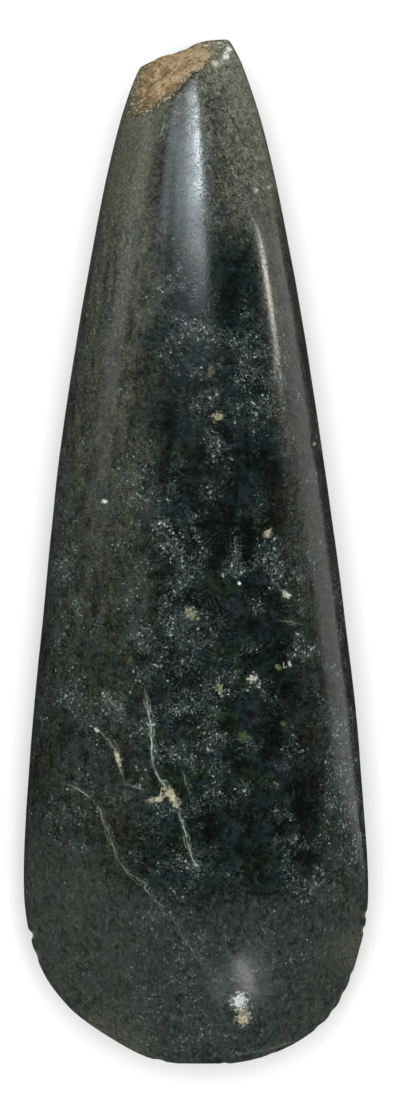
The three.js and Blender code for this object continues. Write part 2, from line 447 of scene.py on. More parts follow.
# Veins on the upper face: points in millimetres from the middle of the head, and strength.
VEINS = (
    (((5.1, -88.1), (9.5, -87.7), (14.7, -86.7), (18.1, -85.4)), 0.15),
    (((-8.6, -24.0), (-8.2, -26.7), (-7.6, -29.9), (-7.5, -32.3), (-7.6, -34.4), (-7.3, -36.6)), 0.7),
    (((-7.3, -36.6), (-6.6, -38.0), (-5.5, -39.6), (-4.3, -41.6), (-3.2, -43.9)), 0.7),
    (((-3.2, -43.9), (-2.3, -46.1), (-1.6, -48.9), (-1.0, -51.6), (0.0, -53.7)), 0.65),
    (((-8.2, -43.0), (-6.8, -42.3), (-5.6, -42.1)), 0.45),
    (((-16.1, -23.8), (-15.1, -25.0), (-14.0, -26.1), (-12.5, -27.2)), 0.3),
    (((-16.6, -30.5), (-15.0, -32.2), (-13.6, -34.4), (-13.1, -36.6), (-12.5, -38.5)), 0.45),
    (((-12.0, -39.7), (-10.3, -40.2), (-8.4, -40.9)), 0.3),
    (((-22.4, -40.0), (-20.0, -40.9), (-17.5, -42.9)), 0.4),
    (((-17.5, -42.9), (-16.3, -44.7), (-15.5, -47.2), (-14.3, -50.4), (-13.2, -53.3)), 0.35),
    (((-13.2, -53.3), (-11.6, -55.2), (-9.3, -57.2), (-7.6, -59.3)), 0.3),
    (((-7.6, -59.3), (-4.5, -62.0), (-1.9, -66.9), (1.9, -72.7)), 0.15),
    (((-11.2, -55.3), (-8.4, -57.2), (-7.5, -57.8)), 0.3),
    (((-2.4, -36.9), (-1.2, -41.0)), 0.2),
    (((14.6, -11.8), (17.7, -12.3)), 0.3),
    (((-3.9, -26.9), (-1.6, -26.5)), 0.4),
    (((-5.4, 75.5), (-5.6, 73.4), (-6.1, 72.0), (-7.6, 71.0)), 0.3),
)

# Inclusions on the upper face: place in millimetres, half length, half width, turn in degrees,
# and kind, from 0 for white over 0.5 for cream to 1 for yellow green.
INCLUSIONS = (
    (7.5, -78.0, 1.5, 1.3, 60, 0.0),
    (8.3, -80.9, 1.7, 1.3, 80, 0.5),
    (5.7, 87.8, 0.65, 0.55, 0, 0.0),
    (5.2, 86.3, 0.65, 0.5, 20, 0.0),
    (3.4, 84.9, 0.8, 0.65, 0, 0.3),
    (4.1, 89.1, 0.5, 0.35, 0, 0.2),
    (10.4, 62.6, 0.6, 0.4, 70, 0.5),
    (12.7, 63.5, 0.45, 0.3, 60, 0.5),
    (2.6, 31.3, 1.1, 0.6, 80, 0.9),
    (3.7, 23.2, 1.1, 0.8, 20, 0.7),
    (-15.7, 8.7, 0.5, 0.35, 0, 0.0),
    (-6.1, 5.0, 0.35, 0.2, 30, 0.0),
    (12.3, 3.2, 0.9, 0.65, 60, 0.6),
    (7.5, -5.3, 0.4, 0.25, -30, 0.0),
    (15.5, -7.3, 0.9, 0.5, -30, 0.2),
    (-0.9, -10.4, 1.3, 0.9, -40, 0.78),
    (16.1, -19.2, 0.5, 0.3, -70, 0.0),
    (14.1, -19.7, 0.75, 0.45, -60, 0.85),
    (9.6, -21.6, 0.85, 0.65, 30, 0.3),
    (4.1, -23.1, 0.9, 0.5, -60, 0.75),
    (15.0, -29.3, 0.6, 0.4, 0, 0.9),
    (-16.9, -30.6, 0.55, 0.35, -40, 0.2),
    (20.6, 18.8, 0.4, 0.25, 40, 0.5),
    (-4.0, -41.9, 2.2, 0.8, -56, 0.5),
    (-6.7, -42.3, 1.5, 0.45, 8, 0.5),
    (0.2, -53.7, 0.4, 0.3, -50, 0.3),
    (-13.4, -35.3, 1.6, 0.4, -70, 0.5),
    (-11.3, -18.4, 0.6, 0.5, 60, 1.0),
    (8.3, -31.7, 1.2, 0.9, 0, 1.0),
)
NEAR_REACH = 1.1 * MM

# Patches of the grain: place in millimetres, half length, half width, turn in degrees, and how much
# more the pale grains crowd there. Below 0 the stone is darker and nearly without grains.
GRAIN_PATCHES = (
    (13.7, 8.8, 17.0, 3.6, -80, -0.8),
    (9.0, 1.0, 7.5, 2.2, -85, -1.0),
    (19.2, -42.2, 17.0, 3.8, 88, -0.9),
    (-11.2, -47.9, 8.0, 5.5, -60, -0.6),
    (-4.9, 17.6, 15.0, 2.2, 86, -0.7),
    (-6.3, -5.8, 9.0, 3.0, 80, -0.6),
    (-13.7, -35.2, 6.0, 3.0, 60, -0.4),
    (4.0, 3.5, 9.0, 5.0, 75, -1.2),
    (5.9, 44.1, 12.0, 3.0, 80, -0.6),
    (3.5, 17.6, 5.5, 3.4, 70, 0.8),
    (12.9, -2.4, 5.5, 2.0, -75, 0.9),
    (9.8, -9.3, 4.0, 2.2, -50, 1.0),
    (0.0, -9.2, 4.5, 3.0, 0, 0.4),
    (9.8, -21.9, 4.5, 3.0, 10, 1.0),
    (2.9, -23.9, 5.0, 2.6, -20, 0.7),
    (7.8, -32.7, 6.5, 5.0, 20, 0.5),
    (14.7, -51.0, 5.0, 4.0, 70, 0.5),
    (-5.3, 4.9, 3.0, 2.0, 60, 0.2),
    (-13.2, -26.9, 5.0, 1.6, -40, 0.6),
    (-23.7, -13.8, 6.0, 2.5, 75, 0.5),
    (-2.0, 2.5, 5.0, 4.5, 0, -0.7),
    (-7.5, 12.0, 4.0, 4.0, 0, -0.5),
)


def nearest_on_veins(places):
    """Each point's signed distance to the nearest vein, how far along it is from an end, and the
    vein's strength, each vein being straight pieces between its points."""
    best = np.full(len(places), 1.0)
    side = np.zeros(len(places))
    tail = np.zeros(len(places))
    strength = np.zeros(len(places))
    for points, power in VEINS:
        line = np.array(points) * MM
        pieces = np.diff(line, axis=0)
        lengths = np.linalg.norm(pieces, axis=1)
        starts = np.concatenate([[0], np.cumsum(lengths)])
        for start, piece, length, before in zip(line, pieces, lengths, starts):
            offset = places - start
            along = np.clip(offset @ piece / length**2, 0, 1)
            away = offset - along[:, None] * piece
            distance = np.linalg.norm(away, axis=1)
            sign = np.sign(piece[0] * offset[:, 1] - piece[1] * offset[:, 0])
            closer = distance < best
            best = np.where(closer, distance, best)
            side = np.where(closer, distance * sign, side)
            done = before + along * length
            tail = np.where(closer, np.minimum(done, starts[-1] - done), tail)
            strength = np.where(closer, power, strength)
    near = (best < NEAR_REACH).astype(float)
    return np.stack([side / MM, tail / MM, strength], axis=-1), near


def in_ellipse(places, x, y, half_long, half_wide, turn):
    """Each place in shares of the half length and half width of an ellipse in millimetres."""
    angle = math.radians(turn)
    dx, dy = places[:, 0] / MM - x, places[:, 1] / MM - y
    long_way = (dx * math.cos(angle) + dy * math.sin(angle)) / half_long
    wide_way = (dy * math.cos(angle) - dx * math.sin(angle)) / half_wide
    return long_way, wide_way


def nearest_on_inclusions(places):
    """Each point's place inside the nearest inclusion's ellipse, where 1 is its rim, and its kind."""
    best = np.full(len(places), 1.0)
    local = np.zeros((len(places), 3))
    for x, y, half_long, half_wide, turn, kind in INCLUSIONS:
        long_way, wide_way = in_ellipse(places, x, y, half_long, half_wide, turn)
        distance = np.hypot(places[:, 0] - x * MM, places[:, 1] - y * MM) - half_long * MM
        closer = distance < best
        best = np.where(closer, distance, best)
        inside = np.stack([long_way, wide_way, np.full(len(places), kind)], axis=-1)
        local = np.where(closer[:, None], inside, local)
    near = (best < NEAR_REACH).astype(float)
    return local, near


def grain_crowding(points):
    """Each patch of the grain adds its amount times (1 - t^2)^2, where t is 1 on its ellipse."""
    total = np.zeros(len(points))
    ragged = 1 + 0.35 * lattice_noise(points, 2.4 * MM, 51)
    for x, y, half_long, half_wide, turn, amount in GRAIN_PATCHES:
        t = np.clip(np.hypot(*in_ellipse(points, x, y, half_long, half_wide, turn)) * ragged, 0, 1)
        total += amount * (1 - t * t) ** 2
    return total


# Where the brown film (partly a painted sheen on the shoulders), the greyer blade (partly a painted sheen of
# the bevel) and the scratched butt start and are full: shares of the half width from the middle line, or of
# the length from the butt. Clouds shift them a little.
CLOUDS = ((1, 9 * MM, 41), (0.5, 4 * MM, 42))
FILM_AND_SHEEN_LEFT = (0.18, 0.5)
FILM_AND_SHEEN_RIGHT = (0.5, 0.9)
FILM_AND_SHEEN_FADES = (0.3, 0.72)
BLADE_STARTS = 0.84
BLADE_LEFT_SHIFT, BLADE_RIGHT_SHIFT = 0.085, 0.02
BLADE_BLUR = 0.035
SCRATCHED_SIDE = (0.05, 0.2)
SCRATCHED_FULL_SIDE = (0.25, 0.6)
SCRATCHED_FULL_END = (0.04, 0.09)
SCRATCHED_FADES = (0.12, 0.22)


def add_attribute(mesh, name, values):
    """Stores one number or one vector for each point of the mesh."""
    kind = "FLOAT_VECTOR" if values.ndim == 2 else "FLOAT"
    field = "vector" if values.ndim == 2 else "value"
    attribute = mesh.attributes.new(name, kind, "POINT")
    attribute.data.foreach_set(field, values.astype(np.float32).ravel())


def paint_stone(shape, stone, points, depth, flaked):
    """Stores where the veins, inclusions, patina, blade, scratched butt and break are; the patina and blade
    masks also place painted sheen.
    """
    upper = points[:, 2] > shape.thickness / 2 - shape.rest_flat
    from_butt = shape.length / 2 - points[:, 1]
    along = from_butt / shape.length
    half = half_width(shape, from_butt)
    middle = shape.width / 2 * smooth_through(DRIFT, along)
    across = (points[:, 0] - middle) / np.maximum(half, 1 * MM)

    veins, vein_near = nearest_on_veins(points[:, :2])
    inclusions, inclusion_near = nearest_on_inclusions(points[:, :2])
    add_attribute(stone.data, "vein", veins)
    add_attribute(stone.data, "vein_near", np.where(upper, vein_near, 0))
    add_attribute(stone.data, "inclusion", inclusions)
    add_attribute(stone.data, "inclusion_near", np.where(upper, inclusion_near, 0))

    cloud = layered_noise(points, CLOUDS)
    # The brown film on the shoulders. Its mask also places a painted sheen there.
    left = smooth_step(*FILM_AND_SHEEN_LEFT, -across + 0.1 * cloud)
    right = smooth_step(*FILM_AND_SHEEN_RIGHT, across + 0.1 * cloud)
    fading = 1 - smooth_step(*FILM_AND_SHEEN_FADES, along + 0.05 * cloud)
    patina_and_sheen = left * (0.4 + 0.6 * fading) + right * (0.4 + 0.3 * fading)
    add_attribute(stone.data, "patina_and_sheen", np.clip(patina_and_sheen, 0, 1))

    # The blade's mask covers greyer stone along the cutting edge and also a painted sheen of the bevel.
    curve = BLADE_LEFT_SHIFT * np.clip(-across, 0, 1) ** 1.5 + BLADE_RIGHT_SHIFT * np.clip(across, 0, 1)
    blade = smooth_step(-BLADE_BLUR, BLADE_BLUR, along - BLADE_STARTS + curve + 0.02 * cloud)
    add_attribute(stone.data, "blade", blade)
    add_attribute(stone.data, "crowding", np.where(upper, grain_crowding(points), 0))

    full_end = 1 - smooth_step(*SCRATCHED_FULL_END, along)
    beside_ridge = 0.5 + 0.5 * np.maximum(smooth_step(*SCRATCHED_FULL_SIDE, across), full_end)
    butt_right = smooth_step(*SCRATCHED_SIDE, across) * beside_ridge
    scratched = butt_right * (1 - smooth_step(*SCRATCHED_FADES, along + 0.02 * cloud))
    add_attribute(stone.data, "scratched", scratched)
    add_attribute(stone.data, "broken", depth / MM)
    add_attribute(stone.data, "flaked", flaked)


# Where the material changes, in millimetres from the middle of the head: first along it, towards
# the butt, then across it.
FILM_AND_SHEEN_TURNS_DUSTY = (25.0, 65.0)
FILM_TURNS_GLOSSIER = (25.0, 42.0)
GRAINS_FADE = (36.0, 66.0)
FILM_AND_SHEEN_THICKENS = (40.0, 66.0)
# Under the break, the dust and grey-green colours also stand in for a reflection: a painted sheen on the
# polished band there.
DUST_AND_SHEEN_UNDER_BREAK = (68.0, 79.0)
LICHEN_AND_SHEEN_UNDER_BREAK = (80.5, 84.5)
LICHEN_AND_SHEEN_ACROSS = (-1.5, 3.0)
BREAK_PALER_ACROSS = (-7.0, -2.0)
BREAK_GREY_GREEN_ACROSS = (3.4, 5.6)
BREAK_DIRTY_ACROSS = (-7.5, -3.5)

# The stone's index of refraction, and how rough the polish over it is.
STONE_IOR = 1.44
POLISH_ROUGHNESS = 0.09

# A Mix node's sockets for two colours, by their place in its lists.
MIX_SHARE, MIX_FIRST, MIX_SECOND = 0, 6, 7
MIX_RESULT = 2


class Recipe:
    """A material's nodes. Each method adds one node and returns its output socket."""

    def __init__(self, name):
        self.material = bpy.data.materials.new(name)
        self.material.use_nodes = True
        self.nodes = self.material.node_tree.nodes
        self.links = self.material.node_tree.links
        self.shader = self.nodes["Principled BSDF"]

    def plug(self, socket, value):
        """Links a socket, or sets a number or colour on it."""
        if isinstance(value, bpy.types.NodeSocket):
            self.links.new(value, socket)
        else:
            socket.default_value = value

    def opaque(self, colour):
        """A plain colour with its alpha. A linked one stays as it is."""
        return colour if isinstance(colour, bpy.types.NodeSocket) else (*colour, 1.0)

    def add(self, kind, settings, inputs, output):
        """Adds a node with its settings and inputs, and returns one of its outputs."""
        node = self.nodes.new("ShaderNode" + kind)
        for name, value in settings.items():
            setattr(node, name, value)
        for key, value in inputs.items():
            self.plug(node.inputs[key], value)
        return node.outputs[output]

    def place(self):
        """The point on the stone, in millimetres."""
        point = self.add("TexCoord", {}, {}, "Object")
        return self.scale(point, 1 / MM)

    def attribute(self, name, output="Fac"):
        return self.add("Attribute", {"attribute_name": name}, {}, output)

    def vector_math(self, operation, inputs, output="Vector"):
        return self.add("VectorMath", {"operation": operation}, inputs, output)

    def scale(self, vector, factor):
        return self.vector_math("SCALE", {"Vector": vector, "Scale": factor})

    def stretch(self, vector, factors):
        return self.vector_math("MULTIPLY", {0: vector, 1: factors})

    def shift(self, vector, other):
        return self.vector_math("ADD", {0: vector, 1: other})

    def length(self, vector):
        return self.vector_math("LENGTH", {0: vector}, "Value")

    def turn(self, vector, angle):
        settings = {"rotation_type": "Z_AXIS"}
        return self.add("VectorRotate", settings, {"Vector": vector, "Angle": angle}, "Vector")

    def part(self, vector, axis):
        return self.add("SeparateXYZ", {}, {"Vector": vector}, axis)

    def math(self, operation, a, b=0.0, clamp=False):
        settings = {"operation": operation, "use_clamp": clamp}
        return self.add("Math", settings, {0: a, 1: b}, "Value")

    def times(self, a, b, clamp=False):
        return self.math("MULTIPLY", a, b, clamp)

    def plus(self, a, b, clamp=False):
        return self.math("ADD", a, b, clamp)

    def minus(self, a, b):
        return self.math("SUBTRACT", a, b)

    def larger(self, a, b):
        return self.math("MAXIMUM", a, b)

    def span(self, value, low, high, to_low=0.0, to_high=1.0):
        """Smoothly from to_low, where value is low, to to_high, where it is high."""
        settings = {"interpolation_type": "SMOOTHSTEP", "clamp": True}
        inputs = {"Value": value, "From Min": low, "From Max": high, "To Min": to_low, "To Max": to_high}
        return self.add("MapRange", settings, inputs, "Result")

    def along(self, place, ends, to_low=0.0, to_high=1.0):
        return self.span(self.part(place, "Y"), *ends, to_low, to_high)

    def across(self, place, ends, to_low=0.0, to_high=1.0):
        return self.span(self.part(place, "X"), *ends, to_low, to_high)

    def noise(self, vector, per_mm, detail=2.0, roughness=0.5, output="Fac"):
        inputs = {"Vector": vector, "Scale": per_mm, "Detail": detail, "Roughness": roughness}
        return self.add("TexNoise", {}, inputs, output)

    def cells(self, vector, per_mm):
        """The distance to the nearest cell's middle, and the cell's random colour."""
        node = self.nodes.new("ShaderNodeTexVoronoi")
        self.plug(node.inputs["Vector"], vector)
        self.plug(node.inputs["Scale"], per_mm)
        return node.outputs["Distance"], node.outputs["Color"]

    def blend(self, share, first, second):
        """The second colour over the first, by share."""
        inputs = {MIX_SHARE: share, MIX_FIRST: self.opaque(first), MIX_SECOND: self.opaque(second)}
        return self.add("Mix", {"data_type": "RGBA"}, inputs, MIX_RESULT)

    def bump(self, height, distance, normal=None):
        inputs = {"Height": height, "Distance": distance, "Strength": 1.0}
        if normal is not None:
            inputs["Normal"] = normal
        return self.add("Bump", {}, inputs, "Normal")


def fibres(recipe, place, per_mm, shift):
    """Fine needles: noise stretched along a direction that changes from one crystal to the next."""
    moved = recipe.shift(place, shift)
    wander = recipe.noise(moved, 0.5, 2.0, 0.5, "Color")
    bent = recipe.shift(moved, recipe.scale(wander, 1.6))
    _, crystal = recipe.cells(bent, 0.34)
    angle = recipe.times(recipe.part(crystal, "X"), 6.28)
    needles = recipe.stretch(recipe.turn(bent, angle), (0.9 * per_mm, 6.0 * per_mm, 2.0 * per_mm))
    return recipe.noise(needles, 1.0, 2.0, 0.55)


def flecks(recipe, place, per_mm, low, high, crowd, detail):
    """Ragged pale grains: where fine noise rises above low, which sinks where grains crowd."""
    fine = recipe.noise(place, per_mm, detail, 0.6)
    raised = recipe.plus(fine, recipe.span(crowd, 0.40, 0.62, -0.14, 0.08))
    return recipe.span(raised, low, high)


def scattered_grains(recipe, place, per_mm, rare, crowd):
    """Separate ragged grains: the middles of the cells whose random number is high enough, which
    fewer are where rare is larger and more are where the grains crowd."""
    bend = recipe.scale(recipe.noise(place, 1.6 * per_mm, 4.0, 0.75, "Color"), 2.2 / per_mm)
    distance, number = recipe.cells(recipe.shift(place, bend), per_mm)
    luck = recipe.plus(recipe.part(number, "X"), recipe.span(crowd, 0.38, 0.60, -0.30, 0.12))
    size = recipe.span(recipe.part(number, "Y"), 0.0, 1.0, 0.16, 0.42)
    disc = recipe.span(recipe.minus(distance, size), -0.10, 0.04, 1.0, 0.0)
    bright = recipe.span(luck, 0.55 + rare, 0.95)
    return recipe.times(disc, bright)


def stone_colour(recipe, finish, place, film_and_sheen, blade):
    """Dark ground in green, blue and violet clouds, under the brown film and the blade's grey, both
    partly painted sheen, and over them needles, milky crumbs and pale flecks."""
    warp = recipe.noise(place, 0.45, 4.0, 0.65, "Color")
    warped = recipe.shift(place, recipe.scale(warp, 3.4))
    patch = recipe.attribute("crowding")
    colour = finish.ground
    clouds = (
        (finish.green, (0, 0, 0), 0.17, 0.46, 0.60),
        (finish.blue, (40, 9, 3), 0.19, 0.48, 0.60),
        (finish.violet, (11, 71, 5), 0.21, 0.54, 0.66),
    )
    for tint, offset, per_mm, low, high in clouds:
        cloud = recipe.noise(recipe.shift(warped, offset), per_mm)
        colour = recipe.blend(recipe.span(cloud, low, high), colour, tint)
    colour = recipe.blend(recipe.span(patch, -0.7, 0.0, 0.85, 0.0), colour, finish.shade)
    # The blade's grey is partly stone colour and partly a painted sheen of the bevel.
    colour = recipe.blend(blade, colour, finish.blade)
    smudge = recipe.noise(recipe.stretch(recipe.shift(place, (4, 4, 9)), (1.7, 0.8, 1.7)), 1.0, 5.0, 0.75)
    smudge = recipe.times(recipe.span(smudge, 0.50, 0.64), blade)
    colour = recipe.blend(smudge, colour, finish.grain)
    # The film's colour is patina that turns dusty towards the butt. It also stands in for the shoulders'
    # sheen: painted sheen.
    dusty = recipe.along(place, FILM_AND_SHEEN_TURNS_DUSTY, 0.0, 0.42)
    colour = recipe.blend(film_and_sheen, colour, recipe.blend(dusty, finish.patina_and_sheen, finish.dust))

    broad = recipe.times(recipe.noise(recipe.shift(place, (80, 6, 2)), 0.06, 1.0), 0.4)
    close = recipe.times(recipe.noise(recipe.shift(warped, (3, 60, 8)), 0.21, 3.0, 0.6), 0.6)
    crowd = recipe.plus(recipe.plus(broad, close), recipe.times(patch, 0.11))
    crowded = recipe.span(crowd, 0.41, 0.58, 0.08, 1.0)
    mottle = recipe.noise(recipe.shift(place, (21, 2, 5)), 0.8, 6.0, 0.78)
    gaps = recipe.times(recipe.span(mottle, 0.42, 0.55, 0.8, 0.0), recipe.span(blade, 0.0, 1.0, 1.0, 0.08))
    gaps = recipe.times(gaps, recipe.span(film_and_sheen, 0.0, 1.0, 1.0, 0.2))
    colour = recipe.blend(gaps, colour, finish.shade)
    milk = recipe.times(recipe.span(mottle, 0.5, 0.66, 0.0, 0.8), crowded)
    colour = recipe.blend(milk, colour, finish.fibre)

    needle_share = recipe.times(
        recipe.span(fibres(recipe, place, 0.62, (0, 0, 0)), 0.55, 0.66),
        recipe.span(recipe.noise(recipe.shift(place, (7, 3, 50)), 0.3), 0.4, 0.6, 0.05, 0.7),
    )
    colour = recipe.blend(needle_share, colour, finish.fibre)
    fine = recipe.span(fibres(recipe, place, 1.1, (13, 5, 7)), 0.56, 0.70, 0.0, 0.7)
    colour = recipe.blend(recipe.times(fine, crowded), colour, finish.fibre)

    covered = recipe.plus(recipe.times(film_and_sheen, 0.6), recipe.times(blade, 0.95), True)
    towards_butt = recipe.along(place, GRAINS_FADE, 1.0, 0.12)
    seen = recipe.times(recipe.minus(1.0, covered), towards_butt)
    for per_mm, offset, rare, most, tint in (
        (2.4, (2, 2, 2), 0.05, 0.6, finish.grain),
        (1.5, (6, 1, 3), 0.12, 0.6, finish.grain),
        (1.9, (9, 5, 1), 0.34, 0.75, finish.speck),
    ):
        grain = scattered_grains(recipe, recipe.shift(place, offset), per_mm, rare, crowd)
        share = recipe.times(grain, recipe.times(seen, most))
        colour = recipe.blend(share, colour, tint)
    layers = (
        (2.9, 0.55, 0.66, (0, 0, 0), 3.0, 0.75, finish.grain),
        (1.7, 0.65, 0.73, (4, 8, 1), 4.0, 0.8, finish.speck),
    )
    for per_mm, low, high, offset, detail, most, tint in layers:
        moved = recipe.shift(place, offset)
        share = flecks(recipe, moved, per_mm, low, high, crowd, detail)
        uneven = recipe.span(recipe.noise(moved, 1.3), 0.35, 0.65, 0.25 * most, most)
        share = recipe.times(share, recipe.times(uneven, seen))
        colour = recipe.blend(share, colour, tint)
    return colour


def add_veins(recipe, finish, place, colour):
    """Thin lines at small distances from a vein: a strand that sways a little, two finer ones that
    leave it in places, and a faint halo, all broken up and fading at the ends."""
    vein = recipe.attribute("vein", "Vector")
    near = recipe.span(recipe.attribute("vein_near"), 0.9, 1.0)
    sway = recipe.minus(recipe.noise(place, 0.45), 0.5)
    shiver = recipe.minus(recipe.noise(place, 2.0), 0.5)
    side = recipe.plus(recipe.part(vein, "X"), recipe.times(sway, 0.65))
    side = recipe.plus(side, recipe.times(shiver, 0.22))
    fade = recipe.span(recipe.part(vein, "Y"), 0.0, 2.0, 0.25, 1.0)
    strength = recipe.times(recipe.times(recipe.part(vein, "Z"), fade), near)
    split = recipe.span(recipe.noise(recipe.shift(place, (17, 4, 2)), 0.35, 1.0), 0.42, 0.62, 0.0, 0.75)
    strands = (
        (0.0, 0.13, 0, 1.0),
        (split, 0.10, 30, 0.8),
        (recipe.times(split, -0.6), 0.09, 50, 0.6),
        (0.1, 0.55, 70, 0.14),
    )
    for offset, width, seed, most in strands:
        distance = recipe.math("ABSOLUTE", recipe.minus(side, offset))
        line = recipe.span(distance, 0.4 * width, 1.3 * width, 1.0, 0.0)
        patches = recipe.noise(recipe.shift(place, (seed, 0, 0)), 1.1, 3.0, 0.6)
        patchy = recipe.span(patches, 0.34, 0.60, 0.15 * most, most)
        share = recipe.times(recipe.times(line, patchy), strength, True)
        colour = recipe.blend(share, colour, finish.vein)
    return colour


def add_inclusions(recipe, finish, place, colour):
    """Ragged pale patches inside each inclusion's ellipse, white, cream or yellow green."""
    local = recipe.attribute("inclusion", "Vector")
    near = recipe.span(recipe.attribute("inclusion_near"), 0.9, 1.0)
    kind = recipe.part(local, "Z")
    inside = recipe.length(recipe.stretch(local, (1, 1, 0)))
    rag = recipe.minus(recipe.noise(place, 1.6, 5.0, 0.8), 0.5)
    ragged = recipe.plus(inside, recipe.times(rag, 4.0))
    mottle = recipe.span(recipe.noise(place, 2.2, 3.0, 0.7), 0.35, 0.62, 0.25, 1.0)
    mottle = recipe.larger(mottle, recipe.span(kind, 0.0, 0.15, 0.75, 0.0))
    mottle = recipe.times(mottle, recipe.span(kind, 0.6, 1.0, 1.0, 0.35))
    share = recipe.times(recipe.span(ragged, 0.35, 1.25, 0.95, 0.0), recipe.times(near, mottle))
    tint = recipe.blend(recipe.span(kind, 0.0, 0.5), finish.crust, finish.cream)
    tint = recipe.blend(recipe.span(kind, 0.5, 1.0), tint, finish.moss)
    return recipe.blend(share, colour, tint), share


def broken_colour(recipe, finish, place, depth):
    """Slanting rust and tan streaks, grey green at the right end, olive dirt along the lower rim and
    at the left, and pale glints that crowd along the rim."""
    slanting = recipe.stretch(recipe.turn(place, 0.6), (0.2, 0.5, 0.4))
    middle = recipe.across(place, BREAK_PALER_ACROSS, -0.03, 0.06)
    streaks = recipe.plus(recipe.noise(slanting, 1.0, 6.0, 0.68), middle)
    colour = recipe.blend(recipe.span(streaks, 0.42, 0.58), finish.rust, finish.tan)
    wobble = recipe.times(recipe.noise(recipe.shift(place, (9, 1, 4)), 0.6, 3.0), 5.0)
    across = recipe.plus(recipe.part(place, "X"), wobble)
    right = recipe.span(across, *BREAK_GREY_GREEN_ACROSS, 0.0, 0.85)
    colour = recipe.blend(right, colour, finish.lichen)
    dirty_left = recipe.span(across, *BREAK_DIRTY_ACROSS, 0.06, 0.0)
    dirty = recipe.plus(dirty_left, recipe.span(depth, 0.2, 1.8, 0.09, 0.0))
    dirt = recipe.plus(recipe.noise(recipe.shift(place, (5, 9, 2)), 0.9, 6.0, 0.78), dirty)
    colour = recipe.blend(recipe.span(dirt, 0.48, 0.60, 0.0, 0.85), colour, finish.olive)
    grains = recipe.plus(recipe.noise(place, 1.9, 3.0, 0.7), recipe.span(depth, 0.2, 2.2, 0.03, 0.0))
    return recipe.blend(recipe.span(grains, 0.60, 0.68, 0.0, 0.8), colour, finish.glint)


